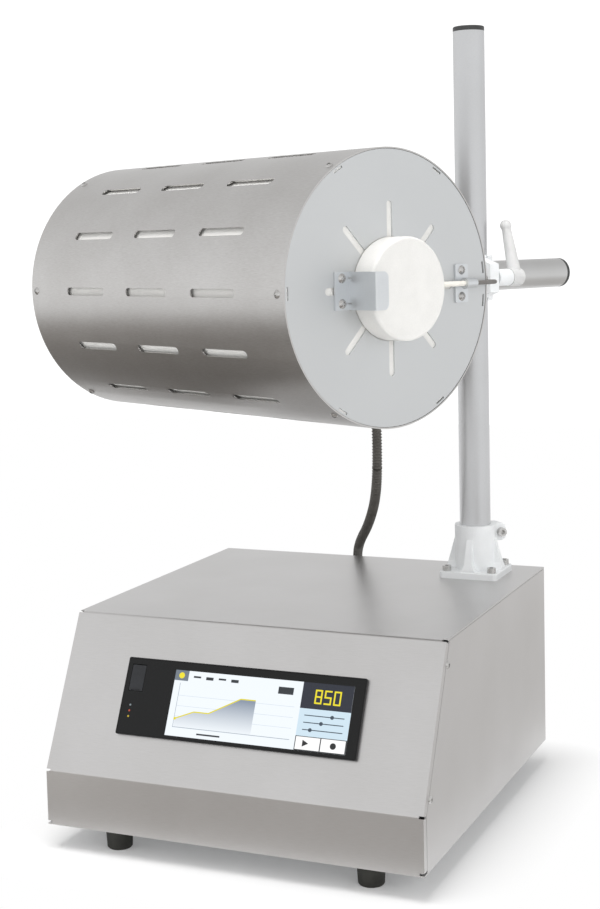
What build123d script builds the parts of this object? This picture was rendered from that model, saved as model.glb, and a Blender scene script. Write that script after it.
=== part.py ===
from build123d import *
import math
import os

os.makedirs("parts", exist_ok=True)

# Bench tube furnace: a cylindrical furnace on a boom, carried by a post on a control cabinet.
# The origin is the centre of the cabinet's footprint on the bench, +Y points to its back.

# Clearances
running_gap = 0.05
seat_gap = 0.3
hole_gap = 0.2
seam = 0.6

# Control cabinet
base_w = 350.0
base_d = 380.0
base_top = 200.0
base_bottom = 23.0
front_h = 49.0
slope_run = 66.0
sheet = 1.5
fold_r = 3.0
flange_w = 7.0
lip_w = 12.0
relief_w = 2.2
pan_wall = 14.0
foot_r_top = 12.6
foot_r_bottom = 11.2
foot_inset_x = 56.0
foot_inset_y = 28.0
foot_recess_r = 6.0

# Post, its foot and the screws there
post_x = 120.0
post_y = 139.0
post_r = 15.0
tube_wall = 2.0
post_top = 726.0
cap_t = 4.5
cap_spigot = 14.0
foot_plate = 58.0
foot_plate_t = 6.5
foot_collar_r = 20.0
foot_collar_h = 50.0
foot_bolt_at = 22.5
foot_rib_top = 37.0
foot_rib_t = 7.0
foot_ear_reach = 29.0
foot_ear_turn = 42.0
foot_ear_h = 17.0
stiffener_w = 76.0
stiffener_t = 5.0

# Cross clamp and lever
axis_h = 491.0
swing = 26.0
axis_offset = 36.0
collar_r = 20.0
clamp_h = 44.0
slit = 2.0
ear_screw_at = 28.5
ear_reach = 36.0
ear_tip_h = 27.0
ear_t = 12.0
boss_r = 8.0
boss_reach = 20.0
stud_r = 4.0
hub_r = 8.8
hub_len = 17.0
hub_bore = 12.0
lever_reach = 50.5
lever_lean = 10.0
lever_sweep = -3.5
lever_root_r = 6.8
lever_tip_r = 4.2
lever_ball_r = 5.5

# Boom
boom_r = 15.0
boom_back = 168.0

# Furnace drum
drum_r = 113.0
drum_len = 361.0
shell_t = 1.2
slot_rows = 14
slot_len = 58.0
slot_w = 7.0
slot_pitch = 91.5
end_t = 1.5
end_inset = 0.3
tab_count = 6
tab_w = 14.0
tab_len = 15.0
tab_screw_in = 8.0
throat_r = 42.0
relief_slots = 8
relief_slot_w = 6.0
relief_slot_r = 70.5
board_r = 109.6
board_t = 20.0
insulation_r = 109.6
heater_r = 50.0
heater_len = 260.0
heater_bore_r = 32.0
work_tube_r = 30.0
work_tube_bore_r = 25.0
work_tube_in = 0.5
work_tube_len = drum_len - 2 * work_tube_in
plug_r = 41.5
plug_out = 21.0
plug_spigot = 40.0

# Brackets on the end plates
bracket_w = 30.0
bracket_at = 45.5
bracket_foot = 16.0
bracket_out = 33.0
bracket_lip = 11.5
bracket_screw_at = 54.0
bracket_screw_gap = 20.0
probe_h = 8.0
probe_rod_r = 2.2
probe_z = 1.5
holder_at = 81.0
holder_w = 15.0
holder_h = 32.0
holder_screw_gap = 22.0
lead_r = 1.8
lead_out = 120.0
lead_bend_r = 9.0

# Saddle box behind the drum and its flange
saddle_t = 2.5
saddle_len = 124.0
saddle_half_angle = 28.0
box_w = 90.0
box_reach = 165.0
drum_reach = box_reach + 84.0
box_t = 2.0
flange_r = 32.0
flange_t = 6.0
flange_collar_r = 21.0
flange_collar_len = 28.0
flange_pcd_r = 26.0
gland_at = 151.0

# Conduit
hose_r = 5.0
gland_r = 9.5
gland_len = 20.0
gland_seat = 8.0
rear_gland_x = -52.0
rear_gland_z = 64.0

# Controller in the sloped panel
panel_w = 225.0
panel_h = 68.0
bezel_t = 3.0
glass_t = 1.2
bezel_rim = 1.0
housing_side = 3.0
housing_end = 4.0
housing_w = panel_w - 2 * housing_side
housing_h = panel_h - 2 * housing_end
housing_depth = 42.0
flap_x = -101.0
flap_v = 16.2
flap_w = 13.2
flap_h = 23.0
flap_t = 1.4
flap_gap = 0.4
port_depth = 14.0
bay_w = 17.0
bay_h = 25.0

# Mains inlet and switch on the rear panel
inlet_x = 108.0
switch_x = 62.0
service_z = 76.0
inlet_w = 27.0
inlet_h = 20.0
switch_w = 20.0
switch_h = 27.0

half_w = base_w / 2
half_d = base_d / 2
fold_z = base_bottom + front_h
slope_rise = base_top - fold_z
slope_len = math.hypot(slope_run, slope_rise)
slope_sin = slope_rise / slope_len
slope_cos = slope_run / slope_len
pan_z = base_bottom + sheet
cover_under = base_top - sheet
foot_h = pan_z

BASE = (Align.CENTER, Align.CENTER, Align.MIN)

slope = Plane(
    origin=(0, -half_d + slope_run / 2, fold_z + slope_rise / 2),
    x_dir=(1, 0, 0),
    z_dir=(0, -slope_sin, slope_cos),
).location
drum_axis = (math.cos(math.radians(swing)), -math.sin(math.radians(swing)), 0)

# Frame of the post: X along the drum's axis, Y along the boom, Z up, at axis height
post_frame = Plane(origin=(post_x, post_y, axis_h), x_dir=drum_axis, z_dir=(0, 0, 1)).location
# Frame of the drum: its centre, with the same directions
drum_frame = post_frame * Location((-axis_offset, -drum_reach, 0))
boom_frame = post_frame * Location((-axis_offset, 0, 0))


def save(name, *shapes):
    """Write one node, a single solid or a group of separate solids."""
    solids = [solid for shape in shapes for solid in shape.solids()]
    export_step(solids[0] if len(solids) == 1 else Compound(solids), f"parts/{name}.step")


def block(x0, x1, y0, y1, z0, z1):
    """A box between two corners."""
    return Pos((x0 + x1) / 2, (y0 + y1) / 2, (z0 + z1) / 2) * Box(x1 - x0, y1 - y0, z1 - z0)


def rod(radius, start, end, axis="Z", at=(0, 0)):
    """A cylinder from start to end along an axis. at is its place across that axis."""
    body = Cylinder(radius, end - start, align=BASE)
    if axis == "X":
        return Pos(start, at[0], at[1]) * Rot(0, 90, 0) * body
    if axis == "Y":
        return Pos(at[0], start, at[1]) * Rot(-90, 0, 0) * body
    return Pos(at[0], at[1], start) * body


def cap_screw(shank_r, length, head_r=None, head_h=None):
    """Socket head screw along Z, its head above 0 and its shank below."""
    head_r = head_r or shank_r * 1.7
    head_h = head_h or shank_r * 2
    screw = rod(head_r, 0, head_h) + rod(shank_r, -length, 0)
    socket = Pos(0, 0, head_h * 0.45) * extrude(RegularPolygon(shank_r * 0.95, 6), head_h)
    return screw - socket


def button_screw(shank_r, length, head_r, head_h):
    """Screw with a domed head above 0 and a cross slot, its shank below."""
    dome_r = (head_r**2 + head_h**2) / (2 * head_h)
    head = Pos(0, 0, head_h - dome_r) * Sphere(dome_r) & rod(head_r * 1.2, 0, head_h + 1)
    slot = block(-head_r * 0.55, head_r * 0.55, -0.5, 0.5, head_h * 0.45, head_h + 1)
    return head - slot - Rot(0, 0, 90) * slot + rod(shank_r, -length, 0)


def around(count, shape, axis=Axis.X, start=0.0):
    """Copies of a shape, evenly spaced around an axis."""
    return [shape.rotate(axis, start + 360 / count * i) for i in range(count)]


def cabinet_outline():
    """The cabinet's side outline in Y and Z, with its two folds rounded."""
    corners = [
        (-half_d, base_bottom),
        (-half_d, fold_z),
        (-half_d + slope_run, base_top),
        (half_d, base_top),
        (half_d, base_bottom),
    ]
    face = make_face(Polyline(*corners, close=True))
    folds = [v for v in face.vertices() if (v.X, v.Y) in corners[1:3]]
    return fillet(folds, fold_r)


def across(sketch, x0, x1):
    """A sketch in Y and Z made into a solid from x0 to x1."""
    return extrude(Plane.YZ.offset(x0) * sketch, x1 - x0)


def make_cover():
    """Top, slope and front folded from one sheet, with return flanges down the slope's sides."""
    outline = cabinet_outline()
    inner = offset(outline, -sheet, kind=Kind.INTERSECTION)
    cover = across(outline - inner, -half_w, half_w)
    cover -= block(-half_w, half_w, -half_d + lip_w, half_d, 0, base_bottom + sheet)
    cover -= block(-half_w, half_w, half_d - sheet, half_d + 1, 0, cover_under)
    strip = outline - behind_line(flange_w, base_bottom, base_top + flange_w)
    for side in (-1, 1):
        edge = half_w - sheet if side > 0 else -half_w
        cover -= block(edge - seam, edge + sheet + seam, flange_w - half_d, half_d, 0, base_bottom + sheet)
        cover += across(strip, edge, edge + sheet)
        notch = block(-4, 4, -flange_w, flange_w, -relief_w / 2, relief_w / 2)
        cover -= Pos(side * half_w, -half_d, fold_z) * Rot(-14, 0, 0) * notch
        cover -= Pos(side * half_w, -half_d, base_bottom + relief_w) * notch
        cover -= Pos(side * half_w, -half_d + slope_run, base_top) * Rot(-31, 0, 0) * notch
    window = Box(housing_w + 2, housing_h + 2, 20)
    cover -= slope * window
    for dx, dy in corner_signs():
        cover -= rod(2.5 + hole_gap, cover_under - 1, base_top + 1, at=(post_x + dx * foot_bolt_at,
                                                                      post_y + dy * foot_bolt_at))
    return cover


def corner_signs():
    return [(-1, -1), (1, -1), (1, 1), (-1, 1)]


def inset_corners(inset, top_z):
    """Where the front, the slope and a level line meet when moved in by an inset."""
    lower_t = inset * (1 - slope_sin) / slope_cos
    lower = (-half_d + inset, fold_z - inset * slope_cos + lower_t * slope_sin)
    upper_t = (top_z - fold_z + inset * slope_cos) / slope_sin
    upper = (-half_d + inset * slope_sin + upper_t * slope_cos, top_z)
    return lower, upper


def behind_line(inset, bottom, top):
    """Area behind the front and the slope, both moved in by an inset, between two levels."""
    lower, upper = inset_corners(inset, top)
    corners = [(inset - half_d, bottom), lower, upper, (half_d, top), (half_d, bottom)]
    return make_face(Polyline(*corners, close=True))


def side_screw_places():
    """Screws along the slope on each side, in the slope's own frame."""
    return [(v, -10.0) for v in (-slope_len / 2 + 16, slope_len / 2 - 18)]


def make_side_panel(side):
    """Flat side panel that closes the cabinet behind the cover's return flange."""
    outline = behind_line(flange_w + seam, base_bottom, cover_under - seat_gap)
    edge = half_w - sheet if side > 0 else -half_w
    panel = across(outline, edge, edge + sheet)
    for v, depth in side_screw_places():
        panel -= slope * rod(2 + hole_gap, -half_w - 5, half_w + 5, "X", (v, depth))
    return panel


def make_panel_bracket(side):
    """Strip behind the seam that takes the side screws."""
    edge = (half_w - 2 * sheet) if side > 0 else -(half_w - sheet)
    strip = slope * block(edge, edge + sheet, -slope_len / 2 + 6, slope_len / 2 - 6, -24, -2)
    for v, depth in side_screw_places():
        strip -= slope * rod(2 + running_gap, -half_w - 5, half_w + 5, "X", (v, depth))
    return strip


def side_screws():
    screws = []
    for side in (-1, 1):
        turn = Rot(0, 90 * side, 0)
        for v, depth in side_screw_places():
            screw = turn * button_screw(2.0, 7.0, 3.8, 2.2)
            screws.append(slope * Pos(side * half_w, v, depth) * screw)
    return screws


def rear_screw_places():
    return [(x, base_bottom + 9) for x in (-half_w + 30, 0, half_w - 30)]


def rear_screws():
    turn = Rot(-90, 0, 0)
    return [Pos(x, half_d, z) * turn * button_screw(2.0, 7.0, 3.8, 2.2) for x, z in rear_screw_places()]


def make_floor_pan():
    """Tray inside the cabinet's foot. It carries the feet and the electrics."""
    x1 = half_w - sheet - seat_gap
    y1 = half_d - sheet - seat_gap
    pan = block(-x1, x1, -y1, y1, pan_z, pan_z + pan_wall)
    pan -= block(-x1 + sheet, x1 - sheet, -y1 + sheet, y1 - sheet, pan_z + sheet, pan_z + pan_wall + 1)
    for x, y in foot_places():
        pan -= rod(2.5 + hole_gap, pan_z - 1, pan_z + sheet + 1, at=(x, y))
    for x, z in rear_screw_places():
        pan -= rod(2 + running_gap, y1 - 3, y1 + 3, "Y", (x, z))
    vent = extrude(SlotOverall(60, 5, rotation=90), 10)
    for i in range(6):
        for y in (-40, 50):
            pan -= Pos(-75 + 30 * i, y, pan_z - 2) * vent
    return pan


def foot_places():
    x = half_w - foot_inset_x
    y = half_d - foot_inset_y
    return [(-x, -y), (x, -y), (x, y), (-x, y)]


def make_foot():
    """Tapered rubber foot with a recess for its screw."""
    profile = make_face(Polyline(
        (foot_recess_r, 0),
        (foot_r_bottom - 1, 0),
        (foot_r_bottom, 1.2),
        (foot_r_top, foot_h),
        (2.5 + hole_gap, foot_h),
        (2.5 + hole_gap, foot_h / 2),
        (foot_recess_r, foot_h / 2),
        close=True,
    ))
    return revolve(Plane.XZ * profile, Axis.Z)


def make_rear_panel():
    """Back sheet with the vents and the cut-outs for the inlet, the switch and the conduit."""
    x1 = half_w - sheet - seat_gap
    panel = block(-x1, x1, half_d - sheet, half_d, base_bottom, cover_under - seat_gap)
    panel += block(-x1, x1, half_d - lip_w, half_d, cover_under - seat_gap - sheet, cover_under - seat_gap)
    cut_y = (half_d - 5, half_d + 5)
    panel -= block(inlet_x - inlet_w / 2, inlet_x + inlet_w / 2, *cut_y,
                   service_z - inlet_h / 2, service_z + inlet_h / 2)
    panel -= block(switch_x - switch_w / 2, switch_x + switch_w / 2, *cut_y,
                   service_z - switch_h / 2, service_z + switch_h / 2)
    panel -= rod(gland_r - 2 + hole_gap, *cut_y, "Y", (rear_gland_x, rear_gland_z))
    for x, z in rear_screw_places():
        panel -= rod(2 + hole_gap, *cut_y, "Y", (x, z))
    vent = Rot(90, 0, 0) * extrude(SlotOverall(44, 4, rotation=90), 10, both=True)
    for i in range(10):
        panel -= Pos(-126 + 28 * i, half_d, 152) * vent
    return panel


def make_gland():
    """Cable gland along Z: thread through the wall below 0, hexagon and dome above."""
    body = extrude(RegularPolygon(gland_r * 1.12, 6), 5)
    body += rod(gland_r - 2, -7, 0)
    body += rod(gland_r, 5, gland_len - 6)
    body += Pos(0, 0, gland_len - 6) * Cone(gland_r, hose_r + 1.8, 6, align=BASE)
    body -= rod(hose_r + seat_gap, gland_seat, gland_len + 1)
    body -= rod(hose_r - 2, -8, gland_seat + 1)
    return body


def make_inlet():
    """Appliance inlet: a flanged housing with three blades in its well."""
    y0 = half_d
    body = block(-inlet_w / 2 - 4, inlet_w / 2 + 4, y0, y0 + 3, -inlet_h / 2 - 2, inlet_h / 2 + 2)
    half_x = inlet_w / 2 - seat_gap
    half_z = inlet_h / 2 - seat_gap
    body += block(-half_x, half_x, y0 - 20, y0, -half_z, half_z)
    body -= block(-12, 12, y0 - 14, y0 + 5, -7.8, 7.8)
    pins = [block(x - 1, x + 1, y0 - 14, y0 - 2.5, z - 2, z + 2) for x, z in ((-7, -1), (7, -1), (0, 3))]
    return [Pos(inlet_x, 0, service_z) * s for s in (body, *pins)]


def make_switch_housing():
    y0 = half_d
    body = block(-switch_w / 2 - 2, switch_w / 2 + 2, y0, y0 + 2, -switch_h / 2 - 2, switch_h / 2 + 2)
    half_x = switch_w / 2 - seat_gap
    half_z = switch_h / 2 - seat_gap
    body += block(-half_x, half_x, y0 - 20, y0, -half_z, half_z)
    body -= block(-8, 8, y0 - 9, y0 + 5, -11.5, 11.5)
    body -= rod(1.0 + running_gap, -9.5, 9.5, "X", (y0 - 2, 0))
    return Pos(switch_x, 0, service_z) * body


def make_rocker():
    """Rocker on its pin, pressed at the lower end."""
    profile = make_face(Polyline(
        (-1.6, -9.6), (3.4, -10.6), (2.4, 0), (4.8, 9.4), (0.6, 9.0), (-4.6, 2), (-4.6, -2), close=True,
    ))
    rocker = extrude(Plane.YZ.offset(-7.6) * profile, 15.2)
    rocker += rod(1.0, -9.4, 9.4, "X", (-2, 0))
    return Pos(switch_x, half_d, service_z) * rocker


def make_bezel():
    """Frame of the controller, with a shallow seat for the glass and a window for the flap."""
    frame = extrude(RectangleRounded(panel_w, panel_h, 1.5), bezel_t)
    glass_w = panel_w - 2 * bezel_rim
    glass_h = panel_h - 2 * bezel_rim
    frame -= Pos(0, 0, bezel_t - glass_t) * extrude(RectangleRounded(glass_w, glass_h, 1), glass_t + 1)
    return slope * (frame - flap_window())


def flap_window():
    top = flap_v + flap_h / 2
    return block(flap_x - flap_w / 2 - flap_gap, flap_x + flap_w / 2 + flap_gap,
                 flap_v - flap_h / 2 - flap_gap, top + flap_gap, -1, bezel_t + 1)


def make_glass():
    """Dark front glass that carries the touch screen."""
    glass_w = panel_w - 2 * bezel_rim - seat_gap
    glass_h = panel_h - 2 * bezel_rim - seat_gap
    glass = Pos(0, 0, bezel_t - glass_t) * extrude(RectangleRounded(glass_w, glass_h, 1), glass_t)
    return slope * (glass - flap_window())


def make_flap():
    """Soft flap over the data socket, with its hinge barrel along the top edge."""
    barrel_r = flap_t / 2
    top = flap_v + flap_h / 2 - barrel_r
    x0 = flap_x - flap_w / 2
    x1 = flap_x + flap_w / 2
    flap = block(x0, x1, flap_v - flap_h / 2, top, bezel_t - flap_t, bezel_t)
    flap += rod(barrel_r, x0, x1, "X", (top, bezel_t - barrel_r))
    flap -= block(flap_x - 4, flap_x + 4, flap_v - flap_h / 2 - 1, flap_v - flap_h / 2 + 1.2,
                  bezel_t - 0.6, bezel_t + 1)
    return slope * flap


def make_housing():
    """Controller housing behind the slope, with the port's bay cut out."""
    body = block(-housing_w / 2, housing_w / 2, -housing_h / 2, housing_h / 2, -housing_depth, 0)
    body = fillet(body.edges().filter_by(Axis.Z), 3)
    bay = block(-housing_w / 2 - 1, flap_x + bay_w / 2, flap_v - bay_h / 2, flap_v + bay_h / 2,
                -port_depth - seat_gap, 1)
    return slope * (body - bay)


def make_port():
    """Data socket that stands upright behind the flap."""
    body = block(flap_x - 4.6, flap_x + 4.6, flap_v - 9, flap_v + 9, -port_depth, 1.0)
    body -= block(flap_x - 2.7, flap_x + 2.7, flap_v - 6.6, flap_v + 6.6, -port_depth + 3, 2)
    body += block(flap_x - 2.7, flap_x - 1.6, flap_v - 5.5, flap_v + 5.5, -port_depth + 3, -9)
    return slope * body


def make_heat_sink():
    """Finned block that stands on the floor pan."""
    z0 = pan_z + sheet
    sink = block(-120, -40, 60, 130, z0, z0 + 6)
    for i in range(9):
        sink += block(-120 + 9.7 * i, -117.6 + 9.7 * i, 60, 130, z0 + 5, z0 + 26)
    return sink


def make_relay():
    z0 = pan_z + sheet + 26
    body = block(-103, -57, 66, 124, z0, z0 + 24)
    body = fillet(body.edges().filter_by(Axis.Z), 2)
    for x, y in ((-95, 72), (-65, 72), (-95, 118), (-65, 118)):
        body -= rod(3, z0 + 18, z0 + 30, at=(x, y))
    return body


def make_rail():
    """Hat-section rail across the floor pan."""
    z0 = pan_z + sheet
    rail = block(20, 150, 12, 47, z0, z0 + 7.5)
    rail -= block(19, 151, 17, 42, z0 + 1, z0 + 8)
    rail -= block(19, 151, 0, 16, z0 - 1, z0 + 6.5)
    rail -= block(19, 151, 43, 60, z0 - 1, z0 + 6.5)
    return rail


def make_terminals():
    """Row of terminal blocks on the rail."""
    z0 = pan_z + sheet + 7.5
    rows = []
    for i in range(6):
        x = 40 + 8.4 * i
        clip = block(x, x + 8, 10, 49, z0, z0 + 30)
        clip -= rod(2.4, z0 + 22, z0 + 31, at=(x + 4, 18))
        clip -= rod(2.4, z0 + 22, z0 + 31, at=(x + 4, 41))
        rows.append(clip)
    return rows


def make_post_foot():
    """Cast foot: square plate, collar, four tapered ribs and a split clamp at the top."""
    plate = fillet(Box(foot_plate, foot_plate, foot_plate_t, align=BASE).edges().filter_by(Axis.Z), 4)
    foot = chamfer(plate.faces().sort_by(Axis.Z)[-1].edges(), 0.8)
    foot += rod(foot_collar_r, 0, foot_collar_h)
    side_face = make_face(Polyline(
        (0, 2), (foot_plate / 2 - 1, 2), (foot_plate / 2 - 1, foot_plate_t + 2),
        (foot_collar_r, foot_rib_top), (0, foot_rib_top), close=True,
    ))
    edge_face = make_face(Polyline(
        (-foot_rib_t, 2), (foot_rib_t, 2), (foot_rib_t, foot_plate_t),
        (foot_rib_t * 0.55, foot_plate_t + 7),
        (foot_rib_t * 0.4, foot_rib_top), (-foot_rib_t * 0.4, foot_rib_top),
        (-foot_rib_t * 0.55, foot_plate_t + 7), (-foot_rib_t, foot_plate_t), close=True,
    ))
    side_solid = extrude(Plane.XZ * side_face, 20, both=True)
    rib = side_solid & extrude(Plane.YZ * edge_face, foot_plate)
    for arm in around(4, rib, Axis.Z):
        foot += arm
    ear_z0 = foot_collar_h - foot_ear_h
    ear = block(10, foot_ear_reach, -8, 8, ear_z0, foot_collar_h)
    ear = fillet(ear.edges().filter_by(Axis.Y).sort_by(Axis.X)[-2:], 5)
    ear_turn = Rot(0, 0, foot_ear_turn)
    foot += ear_turn * ear
    foot -= rod(post_r + running_gap, -1, foot_collar_h + 1)
    foot -= ear_turn * block(5, foot_ear_reach + 1, -slit / 2, slit / 2, ear_z0, foot_collar_h + 1)
    ear_hole_z = foot_collar_h - foot_ear_h / 2
    foot -= ear_turn * rod(2.5 + running_gap, -9, 9, "Y", (foot_ear_reach - 5.5, ear_hole_z))
    for dx, dy in corner_signs():
        foot -= rod(2.5 + hole_gap, -1, foot_plate_t + 2, at=(dx * foot_bolt_at, dy * foot_bolt_at))
    return Pos(post_x, post_y, base_top) * foot


def foot_screw_set():
    """Four bolts of the plate, and the screw of the collar's clamp."""
    bolts = []
    for dx, dy in corner_signs():
        bolt = cap_screw(2.5, foot_plate_t + sheet + stiffener_t)
        place = Pos(post_x + dx * foot_bolt_at, post_y + dy * foot_bolt_at, base_top + foot_plate_t)
        bolts.append(place * bolt)
    clamp = Pos(foot_ear_reach - 5.5, -8, 0) * Rot(90, 0, 0) * cap_screw(2.5, 16)
    collar = Pos(post_x, post_y, base_top + foot_collar_h - foot_ear_h / 2)
    return [*bolts, collar * Rot(0, 0, foot_ear_turn) * clamp]


def make_stiffener():
    """Tapped plate under the cover that takes the foot's bolts."""
    half = stiffener_w / 2
    plate = block(post_x - half, post_x + half, post_y - half, post_y + half,
                  cover_under - stiffener_t, cover_under)
    for dx, dy in corner_signs():
        plate -= rod(2.5 + running_gap, cover_under - stiffener_t - 1, cover_under + 1,
                     at=(post_x + dx * foot_bolt_at, post_y + dy * foot_bolt_at))
    return plate


def make_post():
    start = base_top + seat_gap
    tube = rod(post_r, start, post_top) - rod(post_r - tube_wall, start - 1, post_top + 1)
    return Pos(post_x, post_y, 0) * tube


def make_cap():
    """Push-in end cap along Z, its disc above 0."""
    disc = fillet(rod(post_r, 0, cap_t).edges().sort_by(Axis.Z)[-1], 1.2)
    spigot = rod(post_r - tube_wall - 0.1, -cap_spigot, 0)
    return disc + spigot - rod(post_r - tube_wall - 2, -cap_spigot - 1, -1)


def make_cross_clamp():
    """Two collars at right angles, cast in one, each split and closed by its own screw."""
    clamp = fillet(rod(collar_r, -clamp_h / 2, clamp_h / 2).edges(), 2)
    boom_collar = rod(collar_r, -clamp_h / 2, clamp_h / 2, "Y", (-axis_offset, 0))
    clamp += fillet(boom_collar.edges(), 2)
    ear_face = make_face(Polyline(
        (0, -clamp_h / 2 + 3), (collar_r, -clamp_h / 2 + 3), (ear_reach, -ear_tip_h / 2),
        (ear_reach, ear_tip_h / 2), (collar_r, clamp_h / 2 - 3), (0, clamp_h / 2 - 3), close=True,
    ))
    clamp += Pos(0, -slit / 2 - ear_t, 0) * extrude(Plane.XZ * ear_face, -ear_t)
    clamp += block(0, ear_screw_at, slit / 2, boss_reach - 3, -boss_r, boss_r)
    clamp += rod(boss_r, slit / 2, boss_reach, "Y", (ear_screw_at, 0))
    wing = make_face(Polyline(
        (0, -clamp_h / 2 + 3), (-collar_r, -clamp_h / 2 + 3), (-ear_reach, -ear_tip_h / 2),
        (-ear_reach, ear_tip_h / 2), (-collar_r, clamp_h / 2 - 3), (0, clamp_h / 2 - 3), close=True,
    ))
    clamp += Pos(-axis_offset, 0, -ear_t) * extrude(wing, 2 * ear_t)
    clamp -= rod(post_r + running_gap, -clamp_h, clamp_h)
    clamp -= rod(boom_r + running_gap, -clamp_h, clamp_h, "Y", (-axis_offset, 0))
    clamp -= block(5, ear_reach + 1, -slit / 2, slit / 2, -clamp_h, clamp_h)
    clamp -= block(-axis_offset - ear_reach - 1, -axis_offset - 5, -clamp_h, clamp_h, -slit / 2, slit / 2)
    clamp -= rod(stud_r + running_gap, -slit / 2 - ear_t - 1, 0, "Y", (ear_screw_at, 0))
    clamp -= rod(stud_r + seat_gap, 0, boss_reach + 1, "Y", (ear_screw_at, 0))
    clamp -= rod(3 + hole_gap, -ear_t - 1, ear_t + 1, at=(-axis_offset - ear_screw_at, 0))
    return post_frame * clamp


def make_lever():
    """Clamping lever: a hub on the stud, a tapered arm that leans back and a ball end."""
    start = boss_reach + seat_gap
    hub = rod(hub_r, start, start + hub_len, "Y", (ear_screw_at, 0))
    hub = fillet(hub.edges().sort_by(Axis.Y)[-1], 3)
    arm = Cone(lever_root_r, lever_tip_r, lever_reach, align=BASE)
    arm += Pos(0, 0, lever_reach) * Sphere(lever_ball_r)
    tilt = Pos(ear_screw_at, start + hub_len - lever_root_r, 0) * Rot(-lever_sweep, -lever_lean, 0)
    lever = hub + tilt * arm
    lever -= rod(stud_r + seat_gap, start - 1, start + hub_bore, "Y", (ear_screw_at, 0))
    return post_frame * lever


def make_stud():
    """Threaded stud of the lever, through the boss into the far ear."""
    stud = rod(stud_r, -slit / 2 - ear_t, boss_reach + seat_gap + hub_bore, "Y", (ear_screw_at, 0))
    return post_frame * stud


def make_boom():
    start = -drum_reach + box_reach + seat_gap
    tube = rod(boom_r, start, boom_back, "Y") - rod(boom_r - tube_wall, start - 1, boom_back + 1, "Y")
    return boom_frame * tube


def on_drum(angle):
    """Turn about the drum's axis: 0 faces away from the post, 90 is up."""
    return Rot(90 - angle, 0, 0)


def make_shell():
    """Perforated outer jacket with rounded slots in even rows."""
    shell = rod(drum_r, -drum_len / 2, drum_len / 2, "X")
    shell -= rod(drum_r - shell_t, -drum_len / 2 - 1, drum_len / 2 + 1, "X")
    cutter = Pos(0, 0, drum_r - 8) * extrude(SlotOverall(slot_len, slot_w), 16)
    cutters = []
    for row in range(slot_rows):
        angle = 360 / slot_rows * row
        for column in (-1, 0, 1):
            if column == 0 and abs(angle - 180) < saddle_half_angle:
                continue
            cutters.append(on_drum(angle) * Pos(slot_pitch * column, 0, 0) * cutter)
    shell -= cutters
    for places, shank_r in ((shell_screw_places(), 1.8), (saddle_screw_places(), 2.0)):
        for angle, x in places:
            shell -= on_drum(angle) * rod(shank_r + hole_gap, drum_r - 5, drum_r + 5, at=(x, 0))
    return drum_frame * shell


def shell_screw_places():
    x = drum_len / 2 - tab_screw_in
    return [(360 / tab_count * i, side * x) for i in range(tab_count) for side in (-1, 1)]


def shell_screws():
    screw = Pos(0, 0, drum_r) * button_screw(1.8, shell_t + end_t + seat_gap, 3.5, 2.0)
    return [drum_frame * on_drum(a) * Pos(x, 0, 0) * screw for a, x in shell_screw_places()]


def make_end_plate():
    """End disc with a throat, eight relief slots and bent tabs, facing +X at the drum's near end."""
    outer = drum_r - shell_t - seat_gap
    x1 = drum_len / 2 - end_inset
    x0 = x1 - end_t
    plate = rod(outer, x0, x1, "X")
    tab_face = block(x1 - tab_len, x1 - end_t / 2, -tab_w / 2, tab_w / 2, 0, drum_r)
    ring = rod(outer, x1 - tab_len, x1, "X") - rod(outer - end_t, x1 - tab_len - 1, x1 + 1, "X")
    tab = ring & tab_face
    for i in range(tab_count):
        plate += on_drum(360 / tab_count * i) * tab
    plate -= rod(throat_r, x0 - 1, x1 + 1, "X")
    slot_from = throat_r - 5
    slot = SlotOverall(relief_slot_r - slot_from, relief_slot_w)
    ray = Pos(x0 - 1, 0, (relief_slot_r + slot_from) / 2) * Rot(0, 90, 0) * extrude(slot, end_t + 2)
    plate -= [on_drum(360 / relief_slots * i) * ray for i in range(relief_slots)]
    notch = block(x0 - 1, x1 + 1, -5, 5, outer - 3.4, outer - end_t)
    notches = [on_drum(360 / tab_count * i) * notch for i in range(tab_count) if i != tab_count / 2]
    notches += [on_drum(180 + side * 7.3) * notch for side in (-1, 1)]
    plate -= notches
    plate -= [on_drum(a) * rod(1.8 + running_gap, drum_r - 8, drum_r + 5, at=(abs(x), 0)) for a, x in
              shell_screw_places()[::2]]
    for z in (-bracket_screw_gap / 2, bracket_screw_gap / 2):
        plate -= rod(2 + running_gap, x0 - 1, x1 + 1, "X", (-bracket_screw_at, z))
    return plate


def near_end_plate():
    plate = make_end_plate()
    x1 = drum_len / 2
    for z in holder_screw_heights():
        plate -= rod(2 + running_gap, x1 - 5, x1 + 5, "X", (holder_at, z))
    return drum_frame * plate


def far_end_plate():
    return drum_frame * mirror(make_end_plate(), Plane.YZ)


def end_face():
    """Distance from the drum's middle to the outside of an end plate."""
    return drum_len / 2 - end_inset


def holder_screw_heights():
    return (probe_z - holder_screw_gap / 2, probe_z + holder_screw_gap / 2)


def make_boards():
    """Two fibre discs behind the end plates."""
    x1 = end_face() - end_t
    board = rod(board_r, x1 - board_t, x1, "X") - rod(work_tube_r + seat_gap, x1 - board_t - 1, x1 + 1, "X")
    for z in (-bracket_screw_gap / 2, bracket_screw_gap / 2):
        board -= rod(3, x1 - 8, x1 + 1, "X", (-bracket_screw_at, z))
    for z in holder_screw_heights():
        board -= rod(3, x1 - 8, x1 + 1, "X", (holder_at, z))
    return [drum_frame * board, drum_frame * mirror(board, Plane.YZ)]


def make_insulation():
    half = end_face() - end_t - board_t - seat_gap
    tube = rod(insulation_r, -half, half, "X") - rod(heater_r + seat_gap, -half - 1, half + 1, "X")
    return drum_frame * tube


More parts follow.
